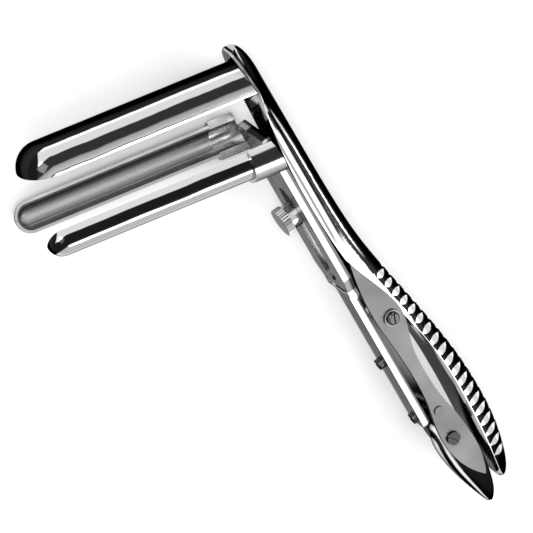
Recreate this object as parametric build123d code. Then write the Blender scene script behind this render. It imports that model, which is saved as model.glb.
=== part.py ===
from build123d import *
import math
import os

# Anal speculum with one fixed upper blade and two sliding lower blades, lying on its side.
# Neck frame: h runs down the neck, n points to the blade tips, z is the width. All sizes in mm.

# Neck tilt against the blades, in degrees
neck_tilt = 16.26

# Blades
blade_reach = 84.5
upper_radius = 9.2
upper_wall = 1.5
lower_radius = 5.5
lower_wall = 1.4
lower_drop = 21.4
lower_spread = 11.6
lower_face_tilt = 27.0
block_radius = 6.8
block_front = 10.0

# Main handle stations: h, inner face n, outer crown n, half width
handle_stations = [
    (-14.6, 0.1, -3.6, 2.6),
    (-12.5, 0.2, -4.9, 5.6),
    (-8.0, 0.2, -5.9, 8.2),
    (0.0, 0.3, -6.1, 9.6),
    (9.0, 1.2, -6.2, 8.0),
    (20.0, 2.2, -6.3, 6.2),
    (40.0, 3.4, -6.4, 5.8),
    (60.0, 3.3, -6.8, 5.8),
    (72.0, 2.6, -7.6, 5.8),
    (84.0, 0.4, -9.2, 5.8),
    (96.0, -3.4, -11.3, 5.8),
    (108.0, -6.2, -13.4, 5.9),
    (119.0, -7.9, -15.2, 7.4),
    (132.0, -8.8, -16.8, 9.0),
    (146.0, -8.8, -17.5, 9.2),
    (160.0, -8.2, -17.0, 8.8),
    (171.0, -7.6, -15.2, 7.2),
    (178.5, -7.6, -13.0, 4.8),
    (181.6, -8.4, -11.4, 2.4),
]
handle_edge = 1.2
neck_front = 3.4
blade_seat = 0.0
blade_seat_end = 0.8

# Rib grooves on the crown of the main handle
rib_count = 19
rib_first_h = 87.5
rib_last_h = 170.0
rib_radius = 2.1
rib_depth = 1.0

# Slide plate
plate_back = 3.8
plate_front = 6.8
plate_top = 16.0
plate_half_width = 10.5
plate_corner = 3.0
slot_start = 40.8
slot_bridge = 2.5
shoulder_length = 5.9
slot_half_width = 3.5

# Link hinge under the plate
hinge_h = 86.0
hinge_n = 5.3
hinge_recess = 2.1
plate_end = hinge_h - hinge_recess
slot_end = plate_end - slot_bridge
shoulder_h = plate_end - shoulder_length
knuckle_radius = 1.65
hinge_pin_radius = 0.8
lug_inner = 5.3
lug_outer = 8.2
link_half_width = 5.0
link_back = 3.9
link_front = 6.5

# Lever pivot and open link pivot
pivot_h = 102.0
pivot_rise = 2.8
pivot_radius = 1.5
pivot_lug_radius = 4.0
neck_side = 6.0
lever_gap = 0.2
lever_thickness = 1.6
link_pivot_h = 142.5
link_tail = 4.5
link_end = link_pivot_h + link_tail
link_pivot_n = 0.0
cross_pin_radius = 1.2
eye_hole_radius = 3.3
eye_radius = 4.4
eye_half_width = 3.6
running_gap = 0.05
seat_gap = 0.02

# Lever plate outline along the front edge and back along the handle side.
# The upper points are h and n, the lower ones are steps from the link pivot and n.
lever_front_upper = [(75.0, 1.2), (88.0, 3.1), (100.0, 3.4), (113.0, 2.4)]
lever_front_lower = [(-16.5, 1.7), (-4.5, 2.2), (4.5, 3.6), (13.5, 3.9), (23.5, 1.5), (31.0, -3.2)]
lever_rear_lower = [(31.0, -3.2), (23.5, -5.6), (13.5, -5.8), (4.5, -4.9), (-4.5, -3.3), (-16.5, -2.6)]
lever_rear_upper = [(115.0, -3.4), (108.5, -5.2), (102.0, -6.2), (94.0, -4.9), (84.0, -1.6), (75.0, 1.2)]
lever_front = lever_front_upper + [(link_pivot_h + step, n) for step, n in lever_front_lower]
lever_rear = [(link_pivot_h + step, n) for step, n in lever_rear_lower] + lever_rear_upper

# Inner grip: step from its upper end, handle side n, front crown n, half width
link_tail_gap = 3.3
grip_top = link_end + link_tail_gap
grip_steps = [
    (0.0, -5.4, 2.2, 7.2),
    (4.2, -5.9, 4.8, 8.2),
    (10.7, -6.1, 5.6, 8.7),
    (18.7, -5.8, 4.6, 8.2),
    (26.7, -5.0, 2.6, 6.6),
    (33.7, -3.9, 0.4, 4.0),
    (36.7, -2.9, -0.7, 1.9),
]
grip_edge = 1.0
grip_screw_margin = 4.0
grip_screw_h = grip_top + grip_screw_margin
grip_screw_n = 0.4
grip_screw_radius = 1.2
grip_screw_head = 2.35
grip_screw_rise = 1.0

# Thumb screw
thumb_h = 51.4
stud_radius = 2.4
stud_inner_n = -1.0
collar_radius = 4.4
collar_back = 6.9
knob_back = 10.2
knob_front = 13.0
knob_radius = 5.05
knob_tooth = 0.35
knob_teeth = 32

# Small screws on the link
front_screw_h = 118.6
end_screw_margin = 3.4
end_screw_h = link_end - end_screw_margin
link_screw_shank = 1.0
link_screw_head = 2.0
link_screw_depth = 2.0
front_screw_rise = 2.0
end_screw_rise = 1.2

# Reach of cutting tools past the pieces they cut, and sizes of the small heads
cut_reach = 12.0
cut_field = 120.0
screw_slot_width = 0.7
screw_slot_depth = 0.6
screw_slot_length = 8.0
washer_radius = 3.0
washer_height = 0.6
washer_gap = 0.1
nut_radius = 2.8
nut_height = 1.6
pivot_head_radius = 2.3
pivot_head_height = 1.3
pivot_head_round = 0.8
pin_head_radius = 1.7
pin_head_height = 0.5
link_corner = 1.6

lever_inner = neck_side + lever_gap
lever_outer = lever_inner + lever_thickness


def turned(shape):
    """Turn a shape from the neck frame into the frame of the blades."""
    return shape.rotate(Axis.Z, neck_tilt)


def at(h, n, z=0.0):
    return Vector(-n, -h, z)


def bar_z(h, n, radius, z_low, z_high):
    """Round bar along the width, in the neck frame."""
    return Pos(-n, -h, (z_low + z_high) / 2) * Cylinder(radius, z_high - z_low)


def bar_n(h, z, radius, n_low, n_high):
    """Round bar along n, in the neck frame."""
    return Pos(-(n_low + n_high) / 2, -h, z) * Rot(0, 90, 0) * Cylinder(radius, n_high - n_low)


def block_hn(h_low, h_high, n_low, n_high, z_low, z_high):
    centre = Pos(-(n_low + n_high) / 2, -(h_low + h_high) / 2, (z_low + z_high) / 2)
    return centre * Box(n_high - n_low, h_high - h_low, z_high - z_low)


def d_section(h, flat_n, crown_n, half_width, edge):
    """Flat face, narrow bevels, short straight sides and a round crown no wider than the sides."""
    way = 1 if crown_n > flat_n else -1
    inset = min(edge, half_width * 0.5)
    side_n = flat_n + way * edge * 0.8
    depth = abs(crown_n - side_n)
    straight = max(edge * 0.2, depth - half_width)
    arc_n = side_n + way * straight
    corners = [at(h, flat_n, half_width - inset), at(h, side_n, half_width), at(h, arc_n, half_width)]
    mirrored = [Vector(p.X, p.Y, -p.Z) for p in corners]
    crown = at(h, crown_n, 0)
    return Face(Wire([
        Line(mirrored[0], corners[0]),
        Line(corners[0], corners[1]),
        Line(corners[1], corners[2]),
        ThreePointArc(corners[2], crown, mirrored[2]),
        Line(mirrored[2], mirrored[1]),
        Line(mirrored[1], mirrored[0]),
    ]))


def station_value(h, column):
    """Value of a handle station column at h, straight between the stations."""
    for low, high in zip(handle_stations, handle_stations[1:]):
        if low[0] <= h <= high[0]:
            share = (h - low[0]) / (high[0] - low[0])
            return low[column] + share * (high[column] - low[column])
    return handle_stations[-1][column]


def outer_at(h):
    return station_value(h, 2)


# The lever pivot stands a set height in front of the handle's inner face
pivot_n = station_value(pivot_h, 1) + pivot_rise

# Main handle: ribbed grip, neck, flat head and the lug of the lever pivot
handle_sections = [
    d_section(h, inner, outer, width, handle_edge)
    for h, inner, outer, width in handle_stations
]
grip_body = loft(handle_sections)
lug = bar_z(pivot_h, pivot_n, pivot_lug_radius, -neck_side, neck_side)
main_handle = grip_body + lug
main_handle -= block_hn(-cut_field, blade_seat_end, blade_seat, blade_seat + cut_reach,
                        -cut_reach, cut_reach)
rib_pitch = (rib_last_h - rib_first_h) / (rib_count - 1)
for index in range(rib_count):
    rib_h = rib_first_h + index * rib_pitch
    slope = (outer_at(rib_h + 2) - outer_at(rib_h - 2)) / 4
    lift = rib_radius - rib_depth
    lean = math.hypot(1, slope)
    rib_n = outer_at(rib_h) - lift / lean
    rib_shift = lift * slope / lean
    main_handle -= bar_z(rib_h + rib_shift, rib_n, rib_radius, -cut_reach, cut_reach)
main_handle -= bar_z(pivot_h, pivot_n, pivot_radius + seat_gap, -cut_reach, cut_reach)
main_handle -= bar_n(thumb_h, 0, stud_radius + running_gap, stud_inner_n - 0.3, neck_front + 1)
main_handle = turned(main_handle)

# Upper blade: half-round trough with a bullet nose, brazed to the head
nose_x = -(blade_reach - upper_radius)
nose_bend = math.cos(math.radians(45))
hollow_radius = upper_radius - upper_wall
blade_root = 6.0
upper_outline = Wire([
    Line((blade_root, upper_radius), (nose_x, upper_radius)),
    ThreePointArc((nose_x, upper_radius), (nose_x - upper_radius * nose_bend, upper_radius * nose_bend),
                  (nose_x - upper_radius, 0)),
    Line((nose_x - upper_radius, 0), (nose_x - hollow_radius, 0)),
    ThreePointArc((nose_x - hollow_radius, 0),
                  (nose_x - hollow_radius * nose_bend, hollow_radius * nose_bend),
                  (nose_x, hollow_radius)),
    Line((nose_x, hollow_radius), (blade_root, hollow_radius)),
    Line((blade_root, hollow_radius), (blade_root, upper_radius)),
])
upper_shell = revolve(Face(upper_outline), axis=Axis.X, revolution_arc=180).rotate(Axis.X, -90)
front_half = turned(block_hn(-cut_field, cut_field, blade_seat, blade_seat + cut_field,
                             -cut_field, cut_field))
upper_blade = upper_shell & front_half


def near_trough(radius, hollow, x_front, x_back, nosed):
    """Half-round trough open toward the middle and a little upward, on the near side."""
    middle = (x_front + x_back) / 2
    length = x_back - x_front
    skin = Pos(middle, 0, 0) * Rot(0, 90, 0) * Cylinder(radius, length)
    core = Pos(middle + 1, 0, 0) * Rot(0, 90, 0) * Cylinder(hollow, length + 2)
    if nosed:
        skin += Pos(x_front, 0, 0) * Sphere(radius)
        core += Pos(x_front, 0, 0) * Sphere(hollow)
    else:
        core = Pos(middle, 0, 0) * Rot(0, 90, 0) * Cylinder(hollow, length + 2)
    outer_side = Pos(0, 0, cut_field / 2) * Box(4 * cut_field, cut_field, cut_field)
    shell = ((skin - core) & outer_side).rotate(Axis.X, lower_face_tilt)
    return Pos(0, -lower_drop, lower_spread) * shell


# Lower blades, in front of their blocks
lower_nose_x = -(blade_reach - lower_radius)
lower_hollow = lower_radius - lower_wall
near_lower_blade = near_trough(lower_radius, lower_hollow, lower_nose_x, -block_front, True)
far_lower_blade = mirror(near_lower_blade, about=Plane.XY)

# Slide plate with its slot, hinge lugs and the two blade blocks
corner_points = [(plate_top, plate_half_width), (shoulder_h, plate_half_width), (plate_end, lug_outer),
                 (plate_end, -lug_outer), (shoulder_h, -plate_half_width), (plate_top, -plate_half_width)]
plate_wire = Wire([Line(at(*a), at(*b)) for a, b in [
    ((h0, plate_back, z0), (h1, plate_back, z1))
    for (h0, z0), (h1, z1) in zip(corner_points, corner_points[1:] + corner_points[:1])]])
plate = extrude(Face(plate_wire), plate_front - plate_back, dir=(-1, 0, 0))
top_corners = plate.edges().filter_by(Axis.X).sort_by(Axis.Y)[-2:]
plate = fillet(top_corners, plate_corner)
slot_cut = block_hn(slot_start + slot_half_width, slot_end - slot_half_width, plate_back - 1, plate_front + 1,
                    -slot_half_width, slot_half_width)
slot_cut += bar_n(slot_start + slot_half_width, 0, slot_half_width, plate_back - 1, plate_front + 1)
slot_cut += bar_n(slot_end - slot_half_width, 0, slot_half_width, plate_back - 1, plate_front + 1)
plate -= slot_cut
for low, high in ((lug_inner, lug_outer), (-lug_outer, -lug_inner)):
    plate += bar_z(hinge_h, hinge_n, knuckle_radius, low, high)
    plate += block_hn(plate_end - 0.5, hinge_h, hinge_n - knuckle_radius, hinge_n + knuckle_radius,
                      low, high)
plate -= bar_z(hinge_h, hinge_n, hinge_pin_radius + seat_gap, -cut_reach, cut_reach)
plate = turned(plate)
block_root = plate_front - (plate_front - plate_back) / 2
near_block = near_trough(block_radius, lower_hollow, -block_front, cut_reach, False)
block_keep = turned(block_hn(-cut_field, cut_field, block_root, block_root + cut_field,
                             -cut_field, cut_field))
near_block = near_block & block_keep
far_block = mirror(near_block, about=Plane.XY)
slide_plate = plate + near_block + far_block

# Pin that carries the link under the plate
link_pin = turned(bar_z(hinge_h, hinge_n, hinge_pin_radius, -lug_outer, lug_outer))

# Pull link: flat strip with a knuckle above and an eye below
pull_link = block_hn(hinge_h, link_end, link_back, link_front, -link_half_width, link_half_width)
pull_link = fillet(pull_link.edges().filter_by(Axis.X).sort_by(Axis.Y)[:2], link_corner)
pull_link += bar_z(hinge_h, hinge_n, knuckle_radius, -link_half_width, link_half_width)
pull_link += bar_z(link_pivot_h, link_pivot_n, eye_radius, -eye_half_width, eye_half_width)
pull_link -= bar_z(link_pivot_h, link_pivot_n, eye_hole_radius, -cut_reach, cut_reach)
pull_link -= bar_z(hinge_h, hinge_n, hinge_pin_radius + running_gap, -cut_reach, cut_reach)
for screw_h in (front_screw_h, end_screw_h):
    pull_link -= bar_n(screw_h, 0, link_screw_shank + seat_gap, link_front - link_screw_depth, link_front + 1)
pull_link = turned(pull_link)


def link_screw(h, head_height):
    screw = bar_n(h, 0, link_screw_shank, link_front - link_screw_depth, link_front)
    screw += bar_n(h, 0, link_screw_head, link_front, link_front + head_height)
    slot_floor = link_front + head_height - screw_slot_depth
    screw -= block_hn(h - screw_slot_width / 2, h + screw_slot_width / 2, slot_floor, slot_floor + cut_reach,
                      -screw_slot_length / 2, screw_slot_length / 2)
    return screw


front_screw = turned(link_screw(front_screw_h, front_screw_rise))
end_screw = turned(link_screw(end_screw_h, end_screw_rise))

# Lever plates on both sides of the neck
front_points = [at(h, n, lever_inner) for h, n in lever_front]
rear_points = [at(h, n, lever_inner) for h, n in lever_rear]
lever_face = Face(Wire([Spline(front_points), Spline(rear_points)]))
lever_blank = extrude(lever_face, lever_thickness, dir=(0, 0, 1))
lever_pocket = extrude(lever_face, cut_reach, dir=(0, 0, 1))
near_lever = lever_blank - bar_z(pivot_h, pivot_n, pivot_radius + running_gap, 0, cut_reach)
near_lever -= bar_z(link_pivot_h, link_pivot_n, cross_pin_radius + seat_gap, 0, cut_reach)
near_lever -= bar_z(grip_screw_h, grip_screw_n, grip_screw_radius + seat_gap, 0, cut_reach)
near_lever_plate = turned(near_lever)
far_lever_plate = mirror(near_lever_plate, about=Plane.XY)

# Inner grip, let in on both sides for the lever plates
grip_sections = [
    d_section(grip_top + step, flat, crown, width, grip_edge)
    for step, flat, crown, width in grip_steps
]
inner_grip = loft(grip_sections)
inner_grip -= lever_pocket
inner_grip -= mirror(lever_pocket, about=Plane.XY)
inner_grip -= bar_z(grip_screw_h, grip_screw_n, grip_screw_radius + seat_gap, -cut_reach, cut_reach)
inner_grip = turned(inner_grip)

# Screw through the grip and both plates
grip_screw_top = lever_outer + grip_screw_rise
grip_screw = bar_z(grip_screw_h, grip_screw_n, grip_screw_radius, -lever_outer, lever_outer)
grip_screw += bar_z(grip_screw_h, grip_screw_n, grip_screw_head, lever_outer, grip_screw_top)
slot_tool = Box(screw_slot_width, screw_slot_length, 2 * screw_slot_depth)
grip_screw -= Pos(-grip_screw_n, -grip_screw_h, grip_screw_top) * Rot(0, 0, 35) * slot_tool
grip_screw = turned(grip_screw)

# Cross pin of the open link pivot, riveted over both plates
pin_head_top = lever_outer + pin_head_height
cross_pin = bar_z(link_pivot_h, link_pivot_n, cross_pin_radius, -lever_outer, lever_outer)
cross_pin += bar_z(link_pivot_h, link_pivot_n, pin_head_radius, lever_outer, pin_head_top)
cross_pin += bar_z(link_pivot_h, link_pivot_n, pin_head_radius, -pin_head_top, -lever_outer)
cross_pin = turned(cross_pin)

# Pivot screw with its raised washer and its nut
washer_base = lever_outer + washer_gap
washer_top = washer_base + washer_height
nut_end = washer_base + nut_height
pivot_washer = bar_z(pivot_h, pivot_n, washer_radius, washer_base, washer_top)
pivot_washer -= bar_z(pivot_h, pivot_n, pivot_radius + seat_gap, 0, cut_reach)
pivot_washer = turned(pivot_washer)
pivot_screw = bar_z(pivot_h, pivot_n, pivot_radius, -nut_end, washer_top)
screw_head = bar_z(pivot_h, pivot_n, pivot_head_radius, washer_top, washer_top + pivot_head_height)
screw_head = fillet(screw_head.edges().filter_by(GeomType.CIRCLE).sort_by(Axis.Z)[-1], pivot_head_round)
pivot_screw += screw_head
pivot_screw -= Pos(-pivot_n, -pivot_h, washer_top + pivot_head_height) * Rot(0, 0, -20) * slot_tool
pivot_screw = turned(pivot_screw)
pivot_nut = bar_z(pivot_h, pivot_n, nut_radius, -nut_end, -washer_base)
pivot_nut -= bar_z(pivot_h, pivot_n, pivot_radius + seat_gap, -cut_reach, 0)
pivot_nut = turned(pivot_nut)

# Thumb screw: stud in the neck, collar in front of the plate, knurled knob
thumb_stud = turned(bar_n(thumb_h, 0, stud_radius, stud_inner_n, knob_back + 1.6))
thumb_collar = bar_n(thumb_h, 0, collar_radius, collar_back, knob_back)
thumb_collar -= bar_n(thumb_h, 0, stud_radius + seat_gap, collar_back - 1, knob_back + 1)
thumb_collar = turned(thumb_collar)
knob_points = []
for index in range(knob_teeth * 2):
    angle = math.pi * index / knob_teeth
    reach = knob_radius if index % 2 == 0 else knob_radius - knob_tooth
    knob_points.append(at(thumb_h + reach * math.cos(angle), knob_back, reach * math.sin(angle)))
knob_wire = Wire([Line(a, b) for a, b in zip(knob_points, knob_points[1:] + knob_points[:1])])
thumb_knob = extrude(Face(knob_wire), knob_front - knob_back, dir=(-1, 0, 0))
thumb_knob -= bar_n(thumb_h, 0, stud_radius + seat_gap, knob_back - 1, knob_back + 1.6)
thumb_knob = turned(thumb_knob)

pieces = {
    "main_handle": main_handle,
    "upper_blade": upper_blade,
    "slide_plate": slide_plate,
    "near_lower_blade": near_lower_blade,
    "far_lower_blade": far_lower_blade,
    "link_pin": link_pin,
    "pull_link": pull_link,
    "link_screw": front_screw,
    "link_end_screw": end_screw,
    "near_lever_plate": near_lever_plate,
    "far_lever_plate": far_lever_plate,
    "inner_grip": inner_grip,
    "grip_screw": grip_screw,
    "cross_pin": cross_pin,
    "pivot_screw": pivot_screw,
    "pivot_washer": pivot_washer,
    "pivot_nut": pivot_nut,
    "thumb_stud": thumb_stud,
    "thumb_collar": thumb_collar,
    "thumb_knob": thumb_knob,
}

# Origin at the bottom centre of the whole instrument
boxes = [piece.bounding_box() for piece in pieces.values()]
low_x = min(box.min.X for box in boxes)
high_x = max(box.max.X for box in boxes)
low_y = min(box.min.Y for box in boxes)
high_y = max(box.max.Y for box in boxes)
low_z = min(box.min.Z for box in boxes)
shift = Pos(-(low_x + high_x) / 2, -(low_y + high_y) / 2, -low_z)

os.makedirs("parts", exist_ok=True)
for name, piece in pieces.items():
    export_step(shift * piece, "parts/" + name + ".step")
    box = piece.bounding_box()
    print(name, len(piece.solids()), round(piece.volume, 2))
print("shift", -(low_x + high_x) / 2, -(low_y + high_y) / 2, -low_z)
print("size", high_x - low_x, high_y - low_y, max(box.max.Z for box in boxes) - low_z)
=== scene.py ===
import bpy
import math
from mathutils import Matrix, Vector


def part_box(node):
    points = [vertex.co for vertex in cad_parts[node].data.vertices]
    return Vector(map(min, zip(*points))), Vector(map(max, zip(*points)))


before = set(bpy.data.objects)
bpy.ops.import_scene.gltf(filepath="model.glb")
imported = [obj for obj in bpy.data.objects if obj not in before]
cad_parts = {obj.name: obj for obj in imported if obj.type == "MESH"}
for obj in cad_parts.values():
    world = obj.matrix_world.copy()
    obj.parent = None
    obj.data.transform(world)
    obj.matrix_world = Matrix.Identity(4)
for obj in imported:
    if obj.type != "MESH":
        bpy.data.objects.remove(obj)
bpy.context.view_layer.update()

# Upper blade: a half-round steel trough with a bullet nose, plated and mirror polished.
# It is taken to be brazed to the head of the handle. Its bands and its dark nose stand for
# the reflections in the photograph, as tones set by the way the surface faces.
cloud_scale = 240.0
cloud_detail = 6.0
cloud_depth = 0.12
scratch_scale = 1400.0
scratch_strength = 0.05
scratch_height = 0.00004


def feed(tree, socket, term):
    """Link an output to a socket, or set the socket where the term is a plain value."""
    if isinstance(term, bpy.types.NodeSocket):
        tree.links.new(term, socket)
    else:
        socket.default_value = term


def calculate(tree, operation, *terms):
    """Add a math node with these terms and return its output."""
    node = tree.nodes.new("ShaderNodeMath")
    node.operation = operation
    for socket, term in zip(node.inputs, terms):
        feed(tree, socket, term)
    return node.outputs[0]


def noise_value(tree, scale, detail=2.0):
    """Add a noise in object coordinates and return its value."""
    place = tree.nodes.new("ShaderNodeTexCoord")
    noise = tree.nodes.new("ShaderNodeTexNoise")
    noise.inputs["Scale"].default_value = scale
    noise.inputs["Detail"].default_value = detail
    tree.links.new(place.outputs["Object"], noise.inputs["Vector"])
    return noise.outputs["Fac"]


# Plating marks: cloudy roughness on top of the coarseness given, and a fine bump that stands
# for the scratches of handling.
marks = bpy.data.node_groups.new("plating_marks", "ShaderNodeTree")
marks.interface.new_socket("Coarse", in_out="INPUT", socket_type="NodeSocketFloat")
marks.interface.new_socket("Roughness", in_out="OUTPUT", socket_type="NodeSocketFloat")
marks.interface.new_socket("Normal", in_out="OUTPUT", socket_type="NodeSocketVector")
marks_in = marks.nodes.new("NodeGroupInput")
marks_out = marks.nodes.new("NodeGroupOutput")
clouds = noise_value(marks, cloud_scale, cloud_detail)
roughness = calculate(marks, "MULTIPLY_ADD", clouds, cloud_depth, marks_in.outputs["Coarse"])
scratches = marks.nodes.new("ShaderNodeBump")
scratches.inputs["Strength"].default_value = scratch_strength
scratches.inputs["Distance"].default_value = scratch_height
marks.links.new(noise_value(marks, scratch_scale), scratches.inputs["Height"])
marks.links.new(roughness, marks_out.inputs["Roughness"])
marks.links.new(scratches.outputs["Normal"], marks_out.inputs["Normal"])

# Facing: how far a surface faces one direction, from 0 away to 1 toward it, a little wavy.
# It reads the object's own normal, so the tone stays on the piece when the piece moves.
usual_waviness = 0.06
wave_scale = 70.0
wave_detail = 3.0
half = 0.5
facing = bpy.data.node_groups.new("facing", "ShaderNodeTree")
facing.interface.new_socket("Direction", in_out="INPUT", socket_type="NodeSocketVector")
facing.interface.new_socket("Waviness", in_out="INPUT", socket_type="NodeSocketFloat")
facing.interface.new_socket("Value", in_out="OUTPUT", socket_type="NodeSocketFloat")
facing_in = facing.nodes.new("NodeGroupInput")
facing_out = facing.nodes.new("NodeGroupOutput")
surface = facing.nodes.new("ShaderNodeTexCoord")
likeness = facing.nodes.new("ShaderNodeVectorMath")
likeness.operation = "DOT_PRODUCT"
facing.links.new(surface.outputs["Normal"], likeness.inputs[0])
facing.links.new(facing_in.outputs["Direction"], likeness.inputs[1])
from_0_to_1 = calculate(facing, "MULTIPLY_ADD", likeness.outputs["Value"], half, half)
wave = calculate(facing, "SUBTRACT", noise_value(facing, wave_scale, wave_detail), half)
waved = calculate(facing, "MULTIPLY_ADD", wave, facing_in.outputs["Waviness"], from_0_to_1)
facing.links.new(waved, facing_out.inputs["Value"])


def facing_value(tree, direction, waviness=usual_waviness):
    """Place the facing group in a material and return its value."""
    node = tree.nodes.new("ShaderNodeGroup")
    node.node_tree = facing
    node.inputs["Direction"].default_value = direction
    node.inputs["Waviness"].default_value = waviness
    return node.outputs["Value"]


def value_between(tree, value, start, end, start_value=0.0, end_value=1.0):
    """Go from start_value to end_value while the value goes from start to end."""
    node = tree.nodes.new("ShaderNodeMapRange")
    node.inputs["From Min"].default_value = start
    node.inputs["From Max"].default_value = end
    node.inputs["To Min"].default_value = start_value
    node.inputs["To Max"].default_value = end_value
    tree.links.new(value, node.inputs["Value"])
    return node.outputs["Result"]


def grey_ramp(tree, value, stops, blue_share=1.0):
    """Turn a value into a grey. Each stop is a place from 0 to 1 and a brightness."""
    ramp = tree.nodes.new("ShaderNodeValToRGB")
    elements = ramp.color_ramp.elements
    while len(elements) < len(stops):
        elements.new(1.0)
    for element, (place, brightness) in zip(elements, stops):
        element.position = place
        element.color = (brightness, brightness, brightness * blue_share, 1)
    tree.links.new(value, ramp.inputs[0])
    return ramp.outputs[0]


def mix_colours(tree, factor, first, second, blend="MIX"):
    """Mix two colours. Each term is an output or a plain value."""
    node = tree.nodes.new("ShaderNodeMix")
    node.data_type = "RGBA"
    node.blend_type = blend
    for socket_name, term in (("Factor", factor), ("A", first), ("B", second)):
        feed(tree, node.inputs[socket_name], term)
    return node.outputs["Result"]


# One tint for all the metal. It darkens the rim of a round piece, more than plain steel would.
dark_rim_tint = (0.12, 0.12, 0.12, 1)


def plated_steel(piece_name, material_name, coarse):
    """Give a piece its own plated steel and return the material's node tree."""
    material = bpy.data.materials.new(material_name)
    material.use_nodes = True
    tree = material.node_tree
    shader = tree.nodes["Principled BSDF"]
    shader.inputs["Metallic"].default_value = 1.0
    shader.inputs["Specular Tint"].default_value = dark_rim_tint
    wear = tree.nodes.new("ShaderNodeGroup")
    wear.node_tree = marks
    wear.inputs["Coarse"].default_value = coarse
    tree.links.new(wear.outputs["Roughness"], shader.inputs["Roughness"])
    tree.links.new(wear.outputs["Normal"], shader.inputs["Normal"])
    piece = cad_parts[piece_name]
    piece.data.materials.clear()
    piece.data.materials.append(material)
    return tree


def colour_with(tree, colour):
    """Feed a colour to the material's shader."""
    tree.links.new(colour, tree.nodes["Principled BSDF"].inputs["Base Color"])


mirror_coarse = 0.05
steel_blue = 1.01
# Painted dark reflection for the blade noses, mixed in by the way the surface faces.
nose_reflection_black = (0.015, 0.015, 0.015, 1)
upper_band_direction = (-0.35, 0.88, -0.476)
upper_nose_direction = (-0.913, 0.355, -0.203)
upper_nose_start = 0.712
upper_nose_full = 0.728
upper_tones = [
    (0.0, 0.6), (0.262, 0.95), (0.295, 0.95), (0.302, 0.08), (0.313, 0.08), (0.322, 0.7), (0.42, 0.45),
    (0.45, 0.04), (0.61, 0.04), (0.625, 0.95), (0.79, 0.95), (0.803, 0.015), (1.0, 0.015),
]
upper = plated_steel("upper_blade", "upper_blade_chrome", mirror_coarse)
upper_bands = grey_ramp(upper, facing_value(upper, upper_band_direction), upper_tones, steel_blue)
upper_nose = value_between(
    upper, facing_value(upper, upper_nose_direction), upper_nose_start, upper_nose_full
)
colour_with(upper, mix_colours(upper, upper_nose, upper_bands, nose_reflection_black))

# Near lower blade: a narrower steel trough, taken to be brazed into a block of the slide plate.
# It shows its mirror-polished outside, with bands and a dark nose that are painted reflections,
# set by the way the surface faces.
near_band_direction = (-0.3, 0.88, -0.476)
near_nose_direction = (-0.845, 0.469, -0.253)
near_tones = [
    (0.0, 0.45), (0.05, 0.7), (0.26, 0.6), (0.28, 0.015), (0.57, 0.015), (0.585, 0.95), (1.0, 0.95),
]
near_nose_stops = [(0.0, 0.0), (0.775, 0.0), (0.79, 1.0), (1.0, 1.0)]
near = plated_steel("near_lower_blade", "near_lower_blade_chrome", mirror_coarse)
near_bands = grey_ramp(near, facing_value(near, near_band_direction), near_tones, steel_blue)
near_nose = grey_ramp(near, facing_value(near, near_nose_direction), near_nose_stops)
colour_with(near, mix_colours(near, near_nose, near_bands, nose_reflection_black))

# Far lower blade: a steel trough like the near one, taken to be brazed into the far block.
# It shows its hollow, which looks satin, with bands of painted light and shade round it, and a
# dark line of painted shade follows its rim round the nose.
satin_coarse = 0.28
blade_radius = 0.0055
band_wave_scale = 90.0
band_wave_depth = 0.014
half_turn = 0.5
rim_inside = 0.004
rim_outside = 0.005
rim_shade_black = (0.02, 0.02, 0.02, 1)
rim_shade_stops = [(0.0, 0.0), (0.12, 0.0), (0.16, 1.0), (0.45, 1.0), (0.55, 0.0), (1.0, 0.0)]
# Painted light and shade: bands of tone by the turn round the hollow.
hollow_tones = [
    (0.0, 0.6), (0.045, 0.6), (0.055, 0.9), (0.067, 0.9), (0.075, 0.08), (0.088, 0.42), (0.14, 0.6),
    (0.2, 0.6), (0.22, 0.3), (0.24, 0.13), (0.32, 0.1), (0.36, 0.13), (0.385, 0.5), (0.40, 0.4),
    (0.41, 0.05), (0.43, 0.85), (0.92, 0.6),
]

# Angle round x: the turn round a line along X, from 0 to 1, with a little waviness.
round_x = bpy.data.node_groups.new("angle_round_x", "ShaderNodeTree")
round_x.interface.new_socket("Centre Y", in_out="INPUT", socket_type="NodeSocketFloat")
round_x.interface.new_socket("Centre Z", in_out="INPUT", socket_type="NodeSocketFloat")
round_x.interface.new_socket("Value", in_out="OUTPUT", socket_type="NodeSocketFloat")
round_in = round_x.nodes.new("NodeGroupInput")
round_out = round_x.nodes.new("NodeGroupOutput")
round_place = round_x.nodes.new("ShaderNodeTexCoord")
round_parts = round_x.nodes.new("ShaderNodeSeparateXYZ")
round_x.links.new(round_place.outputs["Object"], round_parts.inputs[0])
off_y = calculate(round_x, "SUBTRACT", round_parts.outputs["Y"], round_in.outputs["Centre Y"])
off_z = calculate(round_x, "SUBTRACT", round_parts.outputs["Z"], round_in.outputs["Centre Z"])
angle = calculate(round_x, "ARCTAN2", off_z, off_y)
turns = calculate(round_x, "MULTIPLY_ADD", angle, 1 / math.tau, half_turn - band_wave_depth / 2)
band_wave = noise_value(round_x, band_wave_scale)
waved_turns = calculate(round_x, "MULTIPLY_ADD", band_wave, band_wave_depth, turns)
round_x.links.new(waved_turns, round_out.inputs["Value"])

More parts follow.
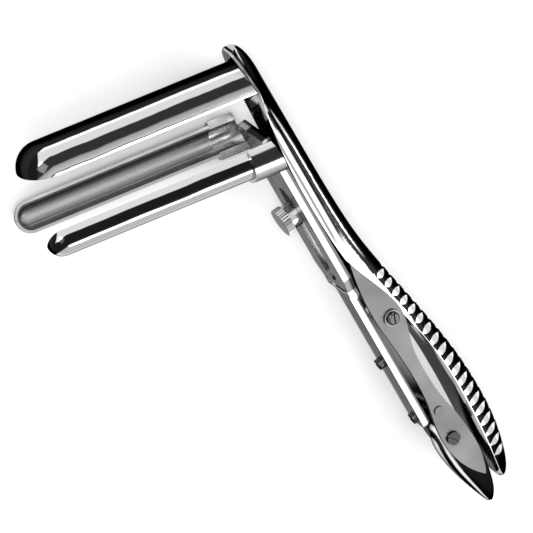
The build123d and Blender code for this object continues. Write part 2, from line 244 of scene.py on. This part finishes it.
far = plated_steel("far_lower_blade", "far_lower_blade_chrome", satin_coarse)
far_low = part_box("far_lower_blade")[0]
nose_centre = tuple(corner + blade_radius for corner in far_low)
round_value = far.nodes.new("ShaderNodeGroup")
round_value.node_tree = round_x
round_value.inputs["Centre Y"].default_value = nose_centre[1]
round_value.inputs["Centre Z"].default_value = nose_centre[2]
hollow = grey_ramp(far, round_value.outputs["Value"], hollow_tones, steel_blue)
far_place = far.nodes.new("ShaderNodeTexCoord")
from_nose = far.nodes.new("ShaderNodeVectorMath")
from_nose.operation = "SUBTRACT"
from_nose.inputs[1].default_value = nose_centre
from_nose_parts = far.nodes.new("ShaderNodeSeparateXYZ")
past_centre = calculate(far, "MINIMUM", from_nose_parts.outputs["X"], 0.0)
from_centre_line = far.nodes.new("ShaderNodeCombineXYZ")
distance = far.nodes.new("ShaderNodeVectorMath")
distance.operation = "LENGTH"
far.links.new(far_place.outputs["Object"], from_nose.inputs[0])
far.links.new(from_nose.outputs["Vector"], from_nose_parts.inputs[0])
far.links.new(past_centre, from_centre_line.inputs["X"])
far.links.new(from_nose_parts.outputs["Y"], from_centre_line.inputs["Y"])
far.links.new(from_nose_parts.outputs["Z"], from_centre_line.inputs["Z"])
far.links.new(from_centre_line.outputs[0], distance.inputs[0])
# Painted shade: a dark line on the rim, between these distances from the nose's centre line.
rim_place = value_between(far, distance.outputs["Value"], rim_inside, rim_outside)
rim = grey_ramp(far, rim_place, rim_shade_stops)
colour_with(far, mix_colours(far, rim, hollow, rim_shade_black))

# Main handle: one steel bar, perhaps forged, with a flat head, a narrow neck and a ribbed grip.
# It is plated and mirror polished. Its tones are painted reflections, set by the way it faces:
# the back is painted dark with painted highlights in the rib grooves, and the front light. The
# neck carries painted dark reflections as lines along its sides.
toward_tips = (-0.96, -0.28, 0.0)
up_the_neck = (-0.28, 0.96, 0.0)
neck_face = -0.0335
handle_waviness = 0.025
grip_tones = [
    (0.0, 0.01), (0.425, 0.012), (0.445, 0.85), (0.56, 0.9), (0.6, 0.3), (0.8, 0.5), (0.97, 0.65),
]
neck_tones = [
    (0.0, 0.3), (0.02, 0.02), (0.27, 0.015), (0.285, 0.85), (0.325, 0.85), (0.34, 0.015), (0.43, 0.03),
    (0.45, 0.35), (0.5, 0.5), (0.53, 0.15), (0.6, 0.35), (0.9, 0.5), (0.97, 0.95),
]
neck_starts = -0.003
neck_full = 0.012
# Painted dark reflections: lines along the neck, placed by depth toward the tips.
lines_back = neck_face - 0.008
lines_front = neck_face + 0.004
neck_dark_reflection_lines = [
    (0.0, 1.0), (0.52, 1.0), (0.54, 0.05), (0.6, 0.05), (0.62, 1.0), (0.72, 1.0), (0.74, 0.25),
    (0.79, 0.25), (0.81, 1.0), (0.885, 1.0), (0.9, 0.04), (0.925, 0.04), (0.935, 1.0),
]
rib_spacing = 0.0045833
rib_shift = -2.0525
ribs_top = -0.0094
ribs_end = -0.0964
back_limit = 0.6
lens_centre = 0.262
lens_half_width = 0.16
lens_taper = 0.55
lens_outside = 0.62
lens_inside = 0.52
groove_highlight_white = (0.95, 0.95, 0.96, 1)


def place_along(tree, direction):
    """Return how far a point lies along a direction, in object coordinates."""
    place = tree.nodes.new("ShaderNodeTexCoord")
    node = tree.nodes.new("ShaderNodeVectorMath")
    node.operation = "DOT_PRODUCT"
    node.inputs[1].default_value = direction
    tree.links.new(place.outputs["Object"], node.inputs[0])
    return node.outputs["Value"]


handle = plated_steel("main_handle", "handle_chrome", mirror_coarse)
front_side = facing_value(handle, toward_tips, handle_waviness)
height = place_along(handle, up_the_neck)
grip_tone = grey_ramp(handle, front_side, grip_tones, steel_blue)
neck_tone = grey_ramp(handle, front_side, neck_tones, steel_blue)
line_place = value_between(handle, place_along(handle, toward_tips), lines_back, lines_front)
lined_neck = mix_colours(handle, 1.0, neck_tone, grey_ramp(handle, line_place, neck_dark_reflection_lines), "MULTIPLY")
neck_part = value_between(handle, height, neck_starts, neck_full)
without_groove_highlights = mix_colours(handle, neck_part, grip_tone, lined_neck)

# Each groove shows a painted highlight, a light lens shape: widest in the middle of the groove,
# pointed at its ends.
ribs = calculate(handle, "MULTIPLY_ADD", height, -1 / rib_spacing, rib_shift)
rib_part = calculate(handle, "FRACT", ribs)
rib_offset = calculate(handle, "MULTIPLY_ADD", rib_part, 2.0, -1.0)
from_rib_middle = calculate(handle, "ABSOLUTE", rib_offset)
across = calculate(handle, "MULTIPLY_ADD", front_side, 1 / lens_half_width, -lens_centre / lens_half_width)
across_square = calculate(handle, "MULTIPLY", across, across)
lens = calculate(handle, "MULTIPLY_ADD", across_square, lens_taper, from_rib_middle)
groove_highlights = value_between(handle, lens, lens_outside, lens_inside)
below_top = calculate(handle, "LESS_THAN", height, ribs_top)
above_end = calculate(handle, "GREATER_THAN", height, ribs_end)
on_back = calculate(handle, "LESS_THAN", front_side, back_limit)
for gate in (below_top, above_end, on_back):
    groove_highlights = calculate(handle, "MULTIPLY", groove_highlights, gate)
colour_with(handle, mix_colours(handle, groove_highlights, without_groove_highlights, groove_highlight_white))

# Slide plate and pull link: a slotted steel plate and a strip, plated and polished.
# The plate slides along the neck, and the strip is screwed and pinned to it. Their tones are
# painted reflections, set by the way they face: the narrow edges painted bright, the front face
# grey and the upper faces dark.
plate_coarse = 0.2
straight_up = (0.0, 1.0, 0.0)
toward_near_side = (0.0, 0.0, 1.0)
far_side_starts = 0.0165
far_side_full = 0.0155
far_side_share = 0.8
far_side_grey = (0.62, 0.62, 0.63, 1)
back_edge_shade = 0.12
plate_and_link = [
    ("slide_plate", 0.62, 0.0046, 0.0053),
    ("pull_link", 0.5, 0.0044, 0.005),
]
for name, front_grey, edge_start, edge_end in plate_and_link:
    plate_tones = [
        (0.0, 0.5), (0.25, 0.5), (0.33, front_grey), (0.42, front_grey), (0.46, 0.72), (0.53, 0.78),
        (0.57, 0.03), (0.83, 0.04), (0.86, 0.9), (0.93, 0.9), (0.96, 0.05),
    ]
    plate = plated_steel(name, name + "_chrome", plate_coarse)
    plate_tone = grey_ramp(plate, facing_value(plate, straight_up), plate_tones, steel_blue)
    # Painted light: the far part of each piece is made a lighter grey.
    far_side = value_between(
        plate, place_along(plate, toward_near_side), far_side_starts, far_side_full, 0.0, far_side_share
    )
    lighter = mix_colours(plate, far_side, plate_tone, far_side_grey)
    # Painted shade: what lies behind the front edge is darkened to back_edge_shade.
    edge = value_between(
        plate, place_along(plate, toward_tips), neck_face + edge_start, neck_face + edge_end, back_edge_shade
    )
    colour_with(plate, mix_colours(plate, 1.0, lighter, edge, "MULTIPLY"))

# Inner grip: a half-round steel grip, perhaps forged, plated and mirror polished.
# The lever plates are let in flush on both sides of it and held by a screw and a pin.
# Its tones are painted reflections, set by the way it faces: dark, with light bands where it faces the tips.
inner_tones = [
    (0.0, 0.015), (0.86, 0.015), (0.875, 0.75), (0.905, 0.8), (0.925, 0.02), (0.965, 0.02), (0.975, 0.7),
]
inner = plated_steel("inner_grip", "inner_grip_chrome", mirror_coarse)
colour_with(inner, grey_ramp(inner, facing_value(inner, toward_tips), inner_tones, steel_blue))

# Screws, pins, lever plates and thumb screw: small steel parts, plated bright or left satin.
# Screws and pins look turned from bar, and the lever plates are flat and greyer.
# The knob has a straight knurl round its rim.
small_cloud_scale = 60.0
dark_place = 0.35
light_place = 0.65
dark_share = 0.8
light_share = 1.15
more_blue = 0.01
# Each part's grey is partly its steel and finish and partly painted light and shade, set to how bright the
# part shows. The cloudy change round it is random tone.
small_parts = [
    ("link_pin", 0.5, 0.2),
    ("link_screw", 0.16, 0.2),
    ("link_end_screw", 0.16, 0.2),
    ("grip_screw", 0.05, 0.2),
    ("cross_pin", 0.12, 0.2),
    ("pivot_screw", 0.1, 0.15),
    ("pivot_washer", 0.16, 0.15),
    ("pivot_nut", 0.6, 0.2),
    ("thumb_stud", 0.6, 0.2),
    ("thumb_collar", 0.8, 0.1),
    ("thumb_knob", 0.5, 0.28),
    ("near_lever_plate", 0.17, 0.34),
    ("far_lever_plate", 0.17, 0.34),
]
for name, grey, coarse in small_parts:
    small = plated_steel(name, name + "_finish", coarse)
    cloudy = small.nodes.new("ShaderNodeValToRGB")
    dark, light = cloudy.color_ramp.elements
    for stop, stop_place, share in ((dark, dark_place, dark_share), (light, light_place, light_share)):
        stop.position = stop_place
        stop.color = (grey * share, grey * share, grey * (share + more_blue), 1)
    small.links.new(noise_value(small, small_cloud_scale), cloudy.inputs[0])
    colour_with(small, cloudy.outputs[0])

# Floor: a plain pale sheet just under the instrument, which keeps its shadow.
# It is matt, so that it mirrors nothing.
floor_gap = 0.0002
floor_width = 6.0
floor_grey = (0.93, 0.93, 0.93, 1)
floor_roughness = 0.9
bpy.ops.object.select_all(action="DESELECT")
bpy.ops.mesh.primitive_plane_add(size=floor_width, location=(0, 0, -floor_gap))
floor = bpy.context.object
floor.name = "floor"
floor_paper = bpy.data.materials.new("floor_paper")
floor_paper.use_nodes = True
paper = floor_paper.node_tree.nodes["Principled BSDF"]
paper.inputs["Base Color"].default_value = floor_grey
paper.inputs["Roughness"].default_value = floor_roughness
floor.data.materials.append(floor_paper)

# Light: an even white room, with two large soft lamps above the instrument.
# Each lamp points at the middle of the frame.
room_strength = 0.75
lamps = [
    ("key", (-0.5, 0.5, 0.9), 9.0, 0.7),
    ("fill", (0.6, -0.4, 0.8), 5.0, 0.8),
]
world = bpy.data.worlds.new("room")
bpy.context.scene.world = world
world.use_nodes = True
room = world.node_tree.nodes["Background"]
room.inputs["Color"].default_value = (1, 1, 1, 1)
room.inputs["Strength"].default_value = room_strength
for name, lamp_place, power, width in lamps:
    lamp_data = bpy.data.lights.new(name, "AREA")
    lamp_data.energy = power
    lamp_data.size = width
    lamp = bpy.data.objects.new(name, lamp_data)
    bpy.context.scene.collection.objects.link(lamp)
    lamp.location = lamp_place
    lamp.rotation_mode = "QUATERNION"
    lamp.rotation_quaternion = (-Vector(lamp_place)).to_track_quat("-Z", "Y")

# Camera: far away with a long lens, worked out from key points in the photograph.
# The first two directions point right and up in the picture.
picture_right = Vector((0.872, -0.191, 0.451))
picture_up = Vector((0.361, 0.873, -0.328))
picture_centre = Vector((-0.00426, 0.02855, 0.0413))
camera_distance = 6.0
camera_data = bpy.data.cameras.new("camera")
camera_data.sensor_width = 36.0
camera_data.lens = 1236.0
camera_data.clip_start = 0.05
camera_data.clip_end = 20
camera = bpy.data.objects.new("camera", camera_data)
bpy.context.scene.collection.objects.link(camera)
toward_camera = picture_right.cross(picture_up).normalized()
camera_place = picture_centre + toward_camera * camera_distance
camera.matrix_world = Matrix((
    (picture_right.x, picture_up.x, toward_camera.x, camera_place.x),
    (picture_right.y, picture_up.y, toward_camera.y, camera_place.y),
    (picture_right.z, picture_up.z, toward_camera.z, camera_place.z),
    (0, 0, 0, 1),
))
bpy.context.scene.camera = camera
bpy.context.scene.view_settings.view_transform = "Standard"
